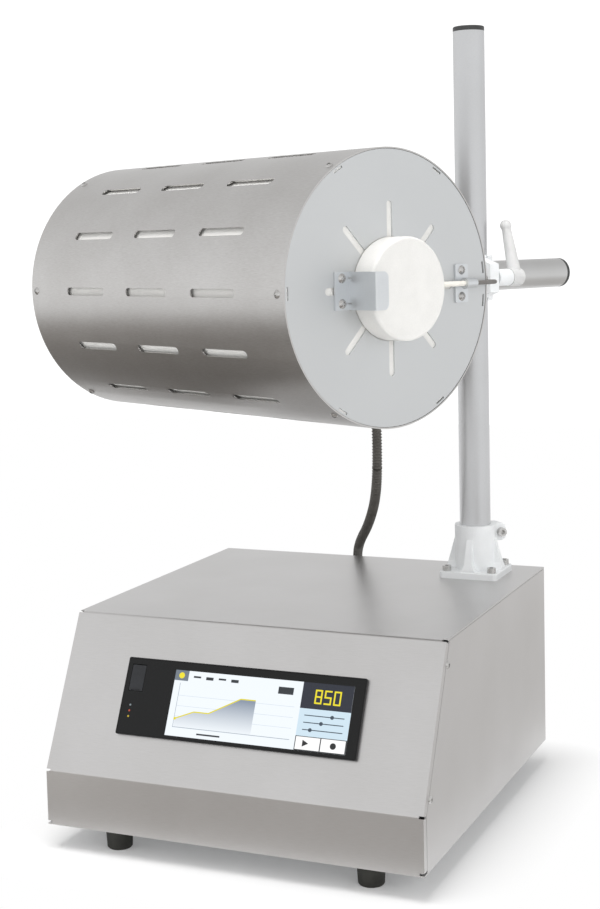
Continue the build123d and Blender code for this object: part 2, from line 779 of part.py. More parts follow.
def make_heater():
    """Support sleeve with the wound element, shown as a grooved tube."""
    half = end_face() - end_t - board_t - seat_gap
    sleeve = rod(heater_r, -half, half, "X") - rod(heater_bore_r, -half - 1, half + 1, "X")
    sleeve -= rod(heater_bore_r + 4, -heater_len / 2, heater_len / 2, "X")
    return drum_frame * sleeve


def make_windings():
    """Turns of the heating element, as rings in the sleeve's recess."""
    turns = 10
    pitch = heater_len / turns
    ring = Rot(0, 90, 0) * Torus(heater_bore_r + 2.0, 1.6)
    return [drum_frame * Pos(-heater_len / 2 + pitch * (i + 0.5), 0, 0) * ring for i in range(turns)]


def make_work_tube():
    half = work_tube_len / 2
    bore = rod(work_tube_bore_r, -half - 1, half + 1, "X")
    return drum_frame * (rod(work_tube_r, -half, half, "X") - bore)


def make_plug():
    """Fibre stopper at the near end: a spigot in the work tube and a wide head before it."""
    x0 = end_face() + hole_gap
    head = fillet(rod(plug_r, x0, end_face() + plug_out, "X").edges().sort_by(Axis.X)[-1], 2.5)
    return head + rod(work_tube_bore_r - seat_gap, x0 - plug_spigot, x0 + 1, "X")


def make_bracket():
    """Z-shaped bracket over the stopper's edge, its lip stopping it short of coming out."""
    x0 = end_face()
    x1 = x0 + bracket_out
    y0 = -bracket_at
    half = bracket_w / 2
    bracket = block(x0, x0 + sheet, y0 - bracket_foot, y0, -half, half)
    bracket += block(x0, x1, y0 - sheet, y0, -half, half)
    lip = block(x1 - sheet, x1, y0 - sheet, y0 + bracket_lip, -half, half)
    lip = fillet(lip.edges().filter_by(Axis.X).sort_by(Axis.Y)[-2:], 5)
    bracket += lip
    bracket = fillet(bracket.edges().filter_by(Axis.Z).filter_by_position(Axis.X, x1 - 0.1, x1 + 0.1)
                     .filter_by_position(Axis.Y, y0 - sheet - 0.1, y0 - sheet + 0.1), sheet)
    for side in (-1, 1):
        bracket -= rod(2 + hole_gap, x0 - 1, x0 + 3, "X", (-bracket_screw_at, side * bracket_screw_gap / 2))
        bracket -= rod(0.9, x0 - 1, x0 + 5, "X", (y0 - sheet / 2, side * bracket_w / 3))
    return bracket


def bracket_screws(side):
    """Screws of one end's brackets. side is 1 for the near end and -1 for the far end."""
    turn = Rot(0, 90, 0)
    screws = []
    places = [(-bracket_screw_at, side_z * bracket_screw_gap / 2) for side_z in (-1, 1)]
    if side > 0:
        places += [(holder_at, z) for z in holder_screw_heights()]
    for y, z in places:
        screw = Pos(end_face() + sheet, y, z) * turn * button_screw(2.0, 7.0, 3.9, 2.4)
        screws.append(screw if side > 0 else mirror(screw, Plane.YZ))
    return [drum_frame * s for s in screws]


def make_near_plug():
    """The near stopper, drilled from the side for the probe."""
    hole = rod(probe_rod_r + seat_gap, 18, plug_r + 1, "Y", (end_face() + probe_h, probe_z))
    return drum_frame * (make_plug() - hole)


def make_holder():
    """Plate and sleeve that hold the probe where it leaves the stopper."""
    x0 = end_face()
    y0 = holder_at - holder_w / 2
    plate = block(x0, x0 + sheet, y0, y0 + holder_w, probe_z - holder_h / 2, probe_z + holder_h / 2)
    plate = fillet(plate.edges().filter_by(Axis.X), 1.5)
    holder = plate + block(x0 + 1, x0 + probe_h, holder_at - 3, holder_at + 5, probe_z - 2.6, probe_z + 2.6)
    at = (x0 + probe_h, probe_z)
    holder += rod(4.0, holder_at - 4, holder_at + 9, "Y", at)
    holder += rod(4.7, holder_at - 4, holder_at - 2, "Y", at)
    holder -= rod(probe_rod_r + hole_gap, holder_at - 5, holder_at + 10, "Y", at)
    for z in holder_screw_heights():
        holder -= rod(2 + hole_gap, x0 - 1, x0 + 3, "X", (holder_at, z))
    return drum_frame * holder


def make_probe():
    """Ceramic rod of the thermocouple, from inside the stopper to the holder."""
    return drum_frame * rod(probe_rod_r, 20, holder_at + 3, "Y", (end_face() + probe_h, probe_z))


def make_lead():
    """Sheathed lead from the holder over the rim, then along the drum's back to the box."""
    x0 = end_face() + probe_h
    points = [
        (x0, holder_at + 3, probe_z),
        (x0, lead_out, probe_z),
        (box_w / 2 - 4, lead_out, probe_z),
    ]
    path = FilletPolyline(*points, radius=lead_bend_r)
    start = Plane(origin=points[0], z_dir=(0, 1, 0))
    return drum_frame * sweep(start * Circle(lead_r), path)


def saddle_screw_places():
    x = saddle_len / 2 - 8
    return [(180 + a, side * x) for a in (-20, 20) for side in (-1, 1)]


def make_saddle():
    """Curved plate on the jacket with a welded box that carries the boom's flange."""
    inner = drum_r + seat_gap
    limit = math.radians(saddle_half_angle)
    wedge = make_face(Polyline(
        (0, 0),
        (200 * math.cos(limit), -200 * math.sin(limit)),
        (200 * math.cos(limit), 200 * math.sin(limit)),
        close=True,
    ))
    half = saddle_len / 2
    sector = extrude(Plane.YZ.offset(-half) * wedge, saddle_len)
    plate = (rod(inner + saddle_t, -half, half, "X") - rod(inner, -half - 1, half + 1, "X")) & sector
    side = box_w / 2
    walls = block(-side, side, 90, box_reach, -side, side)
    walls = fillet(walls.edges().filter_by(Axis.Y), 3)
    walls -= block(-side + box_t, side - box_t, 80, box_reach - box_t, -side + box_t, side - box_t)
    walls -= rod(inner, -side - 1, side + 1, "X")
    saddle = plate + walls
    open_x = side - box_t
    open_z = open_x - 4
    saddle -= block(-open_x, open_x, 90, inner + saddle_t + 1, -open_z, open_z)
    saddle -= rod(gland_r - 2 + hole_gap, -side - 1, -side + box_t + 1, at=(0, gland_at))
    saddle -= rod(lead_r + hole_gap, side - 5, side + 1, "X", (lead_out, probe_z))
    for a in flange_bolt_angles():
        y_hole = (flange_pcd_r * math.cos(a), flange_pcd_r * math.sin(a))
        saddle -= rod(2.5 + running_gap, box_reach - box_t - 1, box_reach + 1, "Y", y_hole)
    for angle, x in saddle_screw_places():
        saddle -= on_drum(angle) * rod(2 + hole_gap, drum_r - 5, drum_r + 12, at=(x, 0))
    return drum_frame * saddle


def saddle_screws():
    screw = Pos(0, 0, drum_r + seat_gap + saddle_t) * button_screw(2.0, 5.5, 3.9, 2.4)
    return [drum_frame * on_drum(a) * Pos(x, 0, 0) * screw for a, x in saddle_screw_places()]


def flange_bolt_angles():
    return [math.radians(45 + 90 * i) for i in range(4)]


def make_flange():
    """Round flange with a collar in which the boom ends."""
    y0 = box_reach
    flange = rod(flange_r, y0, y0 + flange_t, "Y")
    flange = chamfer(flange.edges().sort_by(Axis.Y)[-1], 1)
    flange += rod(flange_collar_r, y0 + flange_t - 1, y0 + flange_t + flange_collar_len, "Y")
    flange -= rod(boom_r + running_gap, y0 - 1, y0 + 60, "Y")
    for a in flange_bolt_angles():
        at = (flange_pcd_r * math.cos(a), flange_pcd_r * math.sin(a))
        flange -= rod(2.5 + hole_gap, y0 - 1, y0 + flange_t + 1, "Y", at)
    flange -= rod(3 + running_gap, boom_r - 2, flange_collar_r + 1, at=(0, flange_screw_at()))
    return drum_frame * flange


def flange_screw_at():
    return box_reach + flange_t + flange_collar_len / 2


def flange_screws():
    """Four bolts through the flange, and the screw that locks the boom in the collar."""
    screws = []
    for a in flange_bolt_angles():
        bolt = Rot(-90, 0, 0) * cap_screw(2.5, flange_t + 5)
        at = (flange_pcd_r * math.cos(a), box_reach + flange_t, flange_pcd_r * math.sin(a))
        screws.append(Pos(*at) * bolt)
    depth = flange_collar_r - boom_r - seat_gap
    screws.append(Pos(0, flange_screw_at(), flange_collar_r) * cap_screw(3.0, depth))
    return [drum_frame * s for s in screws]


def boom_clamp_screw():
    return post_frame * Pos(-axis_offset - ear_screw_at, 0, ear_t) * cap_screw(3.0, 2 * ear_t)


def make_heater_terminals():
    """Ceramic terminal block on the saddle box's back wall."""
    y1 = box_reach - box_t
    body = block(-30, 30, y1 - 16, y1, 26, 40)
    body -= [rod(2, y1 - 17, y1 - 8, "Y", (x, 33)) for x in (-20, 0, 20)]
    return drum_frame * body


def hose_points():
    """Route of the conduit from the box's gland to the rear panel's gland."""
    top = drum_frame * Location((0, gland_at, -box_w / 2 - gland_seat))
    start = top.position
    return [
        (start.X, start.Y, start.Z),
        (start.X, start.Y, start.Z - 50),
        (45.5, 68.5, 334),
        (38, 84, 284),
        (12, 130, 246),
        (-20, 184, 216),
        (-43, 236, 189),
        (-56, 274, 152),
        (-58, 280, 110),
        (-55, 263, 78),
        (rear_gland_x, half_d + 42, rear_gland_z),
        (rear_gland_x, half_d + gland_seat, rear_gland_z),
    ]


def make_hose(points):
    """Tube along straight runs joined by tangent arcs, each arc as large as its runs allow."""
    radii = []
    for a, b, c in zip(points, points[1:], points[2:]):
        into = Vector(*b) - Vector(*a)
        out = Vector(*c) - Vector(*b)
        turn = math.radians(into.get_angle(out))
        radii.append(0.45 * min(into.length, out.length) / math.tan(turn / 2))
    print("conduit radii", [round(r) for r in radii])
    path = FilletPolyline(*points, radius=radii)
    direction = Vector(*points[1]) - Vector(*points[0])
    tube = sweep(Plane(origin=points[0], z_dir=direction) * Circle(hose_r), path)
    print("conduit length", round(path.length, 1), "volume ratio",
          round(tube.volume / (math.pi * hose_r**2 * path.length), 4))
    return tube


# Cabinet
save("base_cover", make_cover())
save("side_panel_left", make_side_panel(-1))
save("side_panel_right", make_side_panel(1))
save("panel_brackets", make_panel_bracket(-1), make_panel_bracket(1))
save("panel_screws", *side_screws(), *rear_screws())
save("floor_pan", make_floor_pan())
save("rear_panel", make_rear_panel())
for foot_name, (x, y) in zip(("front_left", "front_right", "rear_right", "rear_left"), foot_places()):
    save(f"foot_{foot_name}", Pos(x, y, 0) * make_foot())
save("foot_screws", *[Pos(x, y, foot_h / 2) * Rot(180, 0, 0) * cap_screw(2.5, foot_h / 2 + 4, 4.6, 4)
                      for x, y in foot_places()])

# Controller
save("controller_bezel", make_bezel())
save("front_glass", make_glass())
save("usb_flap", make_flap())
save("usb_port", make_port())
save("controller_housing", make_housing())

# Electrics
save("mains_inlet", *make_inlet())
save("switch_housing", make_switch_housing())
save("switch_rocker", make_rocker())
save("relay_heat_sink", make_heat_sink())
save("power_relay", make_relay())
save("terminal_rail", make_rail())
save("terminal_row", *make_terminals())
save("rear_gland", Pos(rear_gland_x, half_d, rear_gland_z) * Rot(-90, 0, 0) * make_gland())

# Stand
save("stiffener_plate", make_stiffener())
save("post_foot", make_post_foot())
save("post_foot_screws", *foot_screw_set())
save("post_tube", make_post())
save("post_cap", Pos(post_x, post_y, post_top) * make_cap())
save("cross_clamp", make_cross_clamp())
save("boom_clamp_screw", boom_clamp_screw())
save("clamp_lever", make_lever())
save("lever_stud", make_stud())
save("boom_tube", make_boom())
save("boom_cap", boom_frame * Pos(0, boom_back, 0) * Rot(-90, 0, 0) * make_cap())

# Drum
save("outer_shell", make_shell())
save("shell_screws", *shell_screws())
save("end_plate_near", near_end_plate())
save("end_plate_far", far_end_plate())
save("end_boards", *make_boards())
save("insulation", make_insulation())
save("heater_sleeve", make_heater())
save("heater_windings", *make_windings())
save("work_tube", make_work_tube())
save("stopper_near", make_near_plug())
save("stopper_far", drum_frame * mirror(make_plug(), Plane.YZ))
save("bracket_near", drum_frame * make_bracket())
save("bracket_far", drum_frame * mirror(make_bracket(), Plane.YZ))
save("bracket_screws", *bracket_screws(1), *bracket_screws(-1))
save("probe_rod", make_probe())
save("probe_holder", make_holder())
save("probe_lead", make_lead())
save("saddle_box", make_saddle())
save("saddle_screws", *saddle_screws())
save("boom_flange", make_flange())
save("flange_screws", *flange_screws())
save("heater_terminals", make_heater_terminals())
save("drum_gland", drum_frame * Pos(0, gland_at, -box_w / 2) * Rot(180, 0, 0) * make_gland())

# Conduit
save("conduit", make_hose(hose_points()))
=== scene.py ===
import bpy
import math
from mathutils import Matrix, Vector


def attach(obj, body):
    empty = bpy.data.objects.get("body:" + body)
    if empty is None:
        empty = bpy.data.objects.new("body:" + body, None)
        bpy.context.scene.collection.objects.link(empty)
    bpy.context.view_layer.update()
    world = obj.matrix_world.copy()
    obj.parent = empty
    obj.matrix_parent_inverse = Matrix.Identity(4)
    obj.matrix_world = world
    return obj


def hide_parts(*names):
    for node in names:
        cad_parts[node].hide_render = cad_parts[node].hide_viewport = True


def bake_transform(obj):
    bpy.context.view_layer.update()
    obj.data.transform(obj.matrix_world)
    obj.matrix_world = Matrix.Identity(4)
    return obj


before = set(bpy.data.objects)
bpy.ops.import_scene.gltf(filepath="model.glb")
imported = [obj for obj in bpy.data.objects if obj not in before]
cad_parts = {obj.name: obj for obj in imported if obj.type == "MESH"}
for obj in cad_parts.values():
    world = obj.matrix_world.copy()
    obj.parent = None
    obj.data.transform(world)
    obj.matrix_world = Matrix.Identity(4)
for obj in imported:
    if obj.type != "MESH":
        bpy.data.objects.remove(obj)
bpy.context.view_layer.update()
print("frame loaded:", len(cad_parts), "nodes")

mm = 0.001

swing = math.radians(26)           # the drum's turn on the post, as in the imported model


# Helpers

def hexColour(code, alpha=1.0):
    parts = [int(code[i:i + 2], 16) / 255 for i in (1, 3, 5)]
    return tuple(p / 12.92 if p <= 0.04045 else ((p + 0.055) / 1.055) ** 2.4 for p in parts) + (alpha,)


def addNode(tree, kind, inputs=None, **settings):
    node = tree.nodes.new(kind)
    for key, value in settings.items():
        setattr(node, key, value)
    for key, value in (inputs or {}).items():
        if isinstance(value, tuple) and isinstance(value[0], bpy.types.Node):
            tree.links.new(value[0].outputs[value[1]], node.inputs[key])
        else:
            node.inputs[key].default_value = value
    return node


def newMaterial(name):
    material = bpy.data.materials.new(name)
    material.use_nodes = True
    material.node_tree.nodes.clear()
    return material, material.node_tree


def finishMaterial(tree, shader, output="BSDF"):
    addNode(tree, "ShaderNodeOutputMaterial", {"Surface": (shader, output)})


def addPiece(name, mesh, material, body, smooth=False):
    piece = bpy.data.objects.new(name, mesh)
    bpy.context.scene.collection.objects.link(piece)
    mesh.materials.clear()
    mesh.materials.append(material)
    for face in mesh.polygons:
        face.use_smooth = smooth
    if body:
        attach(piece, body)
    return piece


def plainMesh(modelled, name):
    graph = bpy.context.evaluated_depsgraph_get()
    mesh = bpy.data.meshes.new_from_object(modelled.evaluated_get(graph))
    mesh.name = name
    return mesh


def levelSheet(name, xRange, yRange, z):
    (x0, x1), (y0, y1) = xRange, yRange
    mesh = bpy.data.meshes.new(name)
    mesh.from_pydata([(x0, y0, z), (x1, y0, z), (x1, y1, z), (x0, y1, z)], [], [(0, 1, 2, 3)])
    return mesh


# Camera at the photograph's view

photoView = {
    "place": (0.58401, -1.371358, 0.531357),
    "yaw": -0.421894,
    "pitch": 0.092444,
    "roll": 0.025379,
    "imageWidth": 600,
    "imageHeight": 909,
    "focalPixels": 1614.67,
    "centrePixel": (273.31, 390.82),
}


def makeCamera(v):
    forward = Vector((math.sin(v["yaw"]) * math.cos(v["pitch"]), math.cos(v["yaw"]) * math.cos(v["pitch"]),
                      -math.sin(v["pitch"])))
    level = Vector((math.cos(v["yaw"]), -math.sin(v["yaw"]), 0))
    down = forward.cross(level)
    right = math.cos(v["roll"]) * level + math.sin(v["roll"]) * down
    up = math.sin(v["roll"]) * level - math.cos(v["roll"]) * down
    data = bpy.data.cameras.new("camera")
    data.sensor_width = 36
    data.lens = v["focalPixels"] / v["imageHeight"] * data.sensor_width
    data.shift_x = (v["imageWidth"] / 2 - v["centrePixel"][0]) / v["imageHeight"]
    data.shift_y = (v["centrePixel"][1] - v["imageHeight"] / 2) / v["imageHeight"]
    camera = bpy.data.objects.new("camera", data)
    turn = Matrix((right, up, -forward)).transposed().to_4x4()
    camera.matrix_world = Matrix.Translation(v["place"]) @ turn
    bpy.context.scene.collection.objects.link(camera)
    bpy.context.scene.camera = camera


makeCamera(photoView)
bpy.context.scene.view_settings.view_transform = "Standard"
print("camera set")


# Studio: a pale floor, a white surround and soft lamps

studio = {
    "floorColour": "#f7f7f7",
    "floorSize": 6.0,
    "shadeNear": 0.85,             # share of the lamps' shading that the camera sees beside the object
    "shadeReach": (0.0, 0.07),     # the floor turns pure white between these distances from the cabinet
    "shadeBase": (0.175, 0.19, 0),   # half the cabinet's footprint
    "paperGrain": {"Scale": 900.0, "Detail": 2.0},
    "paperRelief": {"Strength": 0.05, "Distance": 0.0002},
    "surroundLight": 0.8,          # on the matte pieces
    "mirrorLight": 1.14,           # in reflections
    "surroundTones": {"horizon": "#f6f6f6", "middle": "#e6e6e6", "zenith": "#c9c8c7"},
    "middleHeight": 0.45,
    "behind": {"From Min": -0.2, "From Max": 1.0, "To Min": 1.0, "To Max": 0.86},
    "lamps": {
        "top_softbox": {"place": (-0.1, -0.7, 2.2), "aim": (0, -0.1, 0.1), "size": (1.3, 1.1), "watts": 30},
        "left_softbox": {"place": (-1.7, -1.5, 1.2), "aim": (0, 0, 0.4), "size": (1.0, 1.6), "watts": 7},
        "right_softbox": {"place": (1.9, -1.1, 1.1), "aim": (0, 0, 0.4), "size": (1.0, 1.6), "watts": 13},
    },
    # Cards that only reflections see: they shade the drum's lower front, the front strip and the side panel
    "cards": {
        "near_card": {"x": (-0.6, -0.24), "y": (-0.28, 0.38), "near": "#66625e", "far": "#6f6b67"},
        "left_card": {"x": (-1.9, -0.6), "y": (-1.1, 0.38), "near": "#6f6b67", "far": "#b0aba6"},
        "corner_card": {"x": (-0.6, -0.24), "y": (-0.95, -0.28), "near": "#cfcbc6", "far": "#cfcbc6"},
        "front_card": {"x": (-0.24, 0.9), "y": (-0.95, -0.23), "near": "#aba6a1", "far": "#a39f9b"},
        "right_card": {"x": (0.22, 1.2), "y": (-0.1, 1.3), "near": "#d3d1cf", "far": "#dddbd9"},
    },
    "cardHeight": 0.004,
}


def seenDirectly(tree, ray):
    """1 where the camera, a mirror or glass looks, and 0 for the light that the surface gives."""
    seen = addNode(tree, "ShaderNodeMath", {0: (ray, "Is Camera Ray"), 1: (ray, "Is Glossy Ray")},
                   operation="MAXIMUM")
    return addNode(tree, "ShaderNodeMath", {0: (seen, 0), 1: (ray, "Is Transmission Ray")},
                   operation="MAXIMUM")


def makeFloor(s):
    material, tree = newMaterial("seamless_paper")        # matte studio paper
    grain = addNode(tree, "ShaderNodeTexNoise", s["paperGrain"])
    bump = addNode(tree, "ShaderNodeBump", {**s["paperRelief"], "Height": (grain, "Fac")})
    lit = addNode(tree, "ShaderNodeBsdfDiffuse", {"Color": hexColour(s["floorColour"]),
                                                  "Normal": (bump, "Normal")})
    paper = addNode(tree, "ShaderNodeEmission", {"Color": (1, 1, 1, 1), "Strength": 1.0})
    seen = seenDirectly(tree, addNode(tree, "ShaderNodeLightPath"))
    place = addNode(tree, "ShaderNodeTexCoord")
    away = addNode(tree, "ShaderNodeVectorMath", {0: (place, "Object")}, operation="ABSOLUTE")
    away = addNode(tree, "ShaderNodeVectorMath", {0: (away, 0), 1: s["shadeBase"]}, operation="SUBTRACT")
    away = addNode(tree, "ShaderNodeVectorMath", {0: (away, 0), 1: (0, 0, 0)}, operation="MAXIMUM")
    away = addNode(tree, "ShaderNodeVectorMath", {0: (away, 0)}, operation="LENGTH")
    start, end = s["shadeReach"]
    plain = addNode(tree, "ShaderNodeMapRange", {"Value": (away, "Value"), "From Min": start,
                                                 "From Max": end, "To Min": 1 - s["shadeNear"]})
    share = addNode(tree, "ShaderNodeMath", {0: (seen, 0), 1: (plain, "Result")}, operation="MULTIPLY")
    mix = addNode(tree, "ShaderNodeMixShader", {"Fac": (share, 0), 1: (lit, "BSDF"), 2: (paper, "Emission")})
    finishMaterial(tree, mix, "Shader")
    half = s["floorSize"] / 2
    addPiece("floor", levelSheet("floor", (-half, half), (-half, half), 0), material, None)


def makeCard(name, c, z):
    material, tree = newMaterial(name)                    # studio flag, darker beside the object
    place = addNode(tree, "ShaderNodeTexCoord")
    parts = addNode(tree, "ShaderNodeSeparateXYZ", {"Vector": (place, "Object")})
    near, far = sorted(c["x"], reverse=c["x"][1] <= 0)
    share = addNode(tree, "ShaderNodeMapRange", {"Value": (parts, "X"), "From Min": near, "From Max": far})
    tone = addNode(tree, "ShaderNodeMix", {"Factor": (share, "Result"), "A": hexColour(c["near"]),
                                           "B": hexColour(c["far"])}, data_type="RGBA")
    shade = addNode(tree, "ShaderNodeEmission", {"Color": (tone, "Result"), "Strength": 1.0})
    finishMaterial(tree, shade, "Emission")
    card = addPiece(name, levelSheet(name, c["x"], c["y"], z), material, None)
    card.visible_camera = False
    card.visible_diffuse = False
    card.visible_shadow = False
    card.visible_transmission = False


def makeSurround(s):
    world = bpy.data.worlds.new("studio")
    bpy.context.scene.world = world
    world.use_nodes = True
    tree = world.node_tree
    tree.nodes.clear()
    direction = addNode(tree, "ShaderNodeTexCoord")
    height = addNode(tree, "ShaderNodeSeparateXYZ", {"Vector": (direction, "Generated")})
    behind = addNode(tree, "ShaderNodeMapRange", {"Value": (height, "Y"), **s["behind"]})
    ramp = addNode(tree, "ShaderNodeValToRGB", {"Fac": (height, "Z")})
    stops = ramp.color_ramp.elements
    stops.new(s["middleHeight"])
    for stop, tone in zip(stops, s["surroundTones"].values()):
        stop.color = hexColour(tone)
    ray = addNode(tree, "ShaderNodeLightPath")
    shaded = addNode(tree, "ShaderNodeVectorMath", {0: (ramp, "Color"), "Scale": (behind, "Result")},
                     operation="SCALE")
    tone = addNode(tree, "ShaderNodeMix", {"Factor": (ray, "Is Camera Ray"), "A": (shaded, "Vector"),
                                           "B": (1, 1, 1, 1)}, data_type="RGBA")
    strength = addNode(tree, "ShaderNodeMapRange", {"Value": (seenDirectly(tree, ray), 0),
                                                    "To Min": s["surroundLight"],
                                                    "To Max": s["mirrorLight"]})
    light = addNode(tree, "ShaderNodeBackground", {"Color": (tone, "Result"),
                                                   "Strength": (strength, "Result")})
    addNode(tree, "ShaderNodeOutputWorld", {"Surface": (light, "Background")})


def makeLamps(lamps):
    for name, lamp in lamps.items():
        data = bpy.data.lights.new(name, "AREA")
        data.shape = "RECTANGLE"
        data.size, data.size_y = lamp["size"]
        data.energy = lamp["watts"]
        holder = bpy.data.objects.new(name, data)
        holder.location = lamp["place"]
        aim = Vector(lamp["aim"]) - Vector(lamp["place"])
        holder.rotation_euler = aim.to_track_quat("-Z", "Y").to_euler()
        holder.visible_glossy = False
        bpy.context.scene.collection.objects.link(holder)


makeFloor(studio)
for cardName, card in studio["cards"].items():
    makeCard(cardName, card, studio["cardHeight"])
makeSurround(studio)
makeLamps(studio["lamps"])
print("studio set")


# Materials

noiseCore = {"From Min": 0.3, "From Max": 0.7}      # where nearly all values of a noise lie


def brushedSteel(name, look):
    """Sheet or tube with fine parallel grinding lines; look gives colours, roughness and grain in mm."""
    material, tree = newMaterial(name)
    place = addNode(tree, "ShaderNodeTexCoord")
    grainSize = [size * mm for size in look["grain"]]
    aligned = addNode(tree, "ShaderNodeMapping", {"Vector": (place, "Object"), "Scale": grainSize,
                                                  "Rotation": look.get("turn", (0, 0, 0))},
                      vector_type="TEXTURE")
    lines = addNode(tree, "ShaderNodeTexNoise", {"Vector": (aligned, "Vector"), "Scale": 1.0, "Detail": 4.0,
                                                 "Roughness": 0.6})
    clouds = addNode(tree, "ShaderNodeTexNoise", {"Vector": (place, "Object"), "Detail": 3.0,
                                                  "Roughness": 0.5, "Scale": 1 / (look["cloud"] * mm)})
    lineTone = addNode(tree, "ShaderNodeMapRange", {"Value": (lines, "Fac"), **noiseCore,
                                                    "To Min": -look["spread"], "To Max": look["spread"]})
    cloudTone = addNode(tree, "ShaderNodeMapRange", {"Value": (clouds, "Fac"), **noiseCore,
                                                     "To Min": 0.5 - look["cloudSpread"],
                                                     "To Max": 0.5 + look["cloudSpread"]})
    tone = addNode(tree, "ShaderNodeMath", {0: (lineTone, "Result"), 1: (cloudTone, "Result")},
                   operation="ADD")
    colour = addNode(tree, "ShaderNodeMix", {"Factor": (tone, 0), "A": hexColour(look["dark"]),
                                             "B": hexColour(look["light"])}, data_type="RGBA")
    rough = addNode(tree, "ShaderNodeMapRange", {"Value": (lines, "Fac"), "From Min": 0.25, "From Max": 0.75,
                                                 "To Min": look["rough"] - 0.05,
                                                 "To Max": look["rough"] + 0.07})
    bump = addNode(tree, "ShaderNodeBump", {"Strength": look["bump"], "Distance": 0.05 * mm,
                                            "Height": (lines, "Fac")})
    shader = addNode(tree, "ShaderNodeBsdfPrincipled", {"Base Color": (colour, "Result"), "Metallic": 1.0,
                                                        "Roughness": (rough, "Result"),
                                                        "Normal": (bump, "Normal")})
    finishMaterial(tree, shader)
    return material


def matteSolid(name, look):
    """Moulded, cast, fibrous or rubber surface with a fine grain; look gives colours, roughness and mm."""
    material, tree = newMaterial(name)
    place = addNode(tree, "ShaderNodeTexCoord")
    grain = addNode(tree, "ShaderNodeTexNoise", {"Vector": (place, "Object"), "Detail": 4.0,
                                                 "Roughness": 0.6, "Scale": 1 / (look["grain"] * mm)})
    wear = addNode(tree, "ShaderNodeTexNoise", {"Vector": (place, "Object"), "Detail": 3.0,
                                                "Scale": 1 / (look["cloud"] * mm)})
    blend = addNode(tree, "ShaderNodeMath", {0: (grain, "Fac"), 1: (wear, "Fac")}, operation="ADD")
    tone = addNode(tree, "ShaderNodeMapRange", {"Value": (blend, 0), "From Min": 0.7, "From Max": 1.3})
    colour = addNode(tree, "ShaderNodeMix", {"Factor": (tone, "Result"), "A": hexColour(look["dark"]),
                                             "B": hexColour(look["light"])}, data_type="RGBA")
    rough = addNode(tree, "ShaderNodeMapRange", {"Value": (grain, "Fac"), **noiseCore,
                                                 "To Min": look["rough"] - 0.05,
                                                 "To Max": look["rough"] + 0.05})
    bump = addNode(tree, "ShaderNodeBump", {"Strength": look["bump"], "Height": (grain, "Fac"),
                                            "Distance": look.get("depth", 0.05) * mm})
    shader = addNode(tree, "ShaderNodeBsdfPrincipled", {"Base Color": (colour, "Result"),
                                                        "Metallic": look.get("metal", 0.0),
                                                        "Roughness": (rough, "Result"),
                                                        "IOR": look.get("ior", 1.5),
                                                        "Normal": (bump, "Normal")})
    finishMaterial(tree, shader)
    return material


unlitScreen = (0.01, 0.01, 0.01, 1)


def screenGlow(name, code):
    """A lit area of the touch screen: its colour comes from the panel behind the glass."""
    material, tree = newMaterial(name)
    place = addNode(tree, "ShaderNodeTexCoord")
    dots = addNode(tree, "ShaderNodeTexNoise", {"Vector": (place, "Object"), "Scale": 5000.0, "Detail": 0.0})
    rough = addNode(tree, "ShaderNodeMapRange", {"Value": (dots, "Fac"), "To Min": 0.12, "To Max": 0.2})
    shader = addNode(tree, "ShaderNodeBsdfPrincipled", {"Base Color": unlitScreen,
                                                        "Roughness": (rough, "Result"),
                                                        "Emission Color": hexColour(code),
                                                        "Emission Strength": 1.0})
    finishMaterial(tree, shader)
    return material


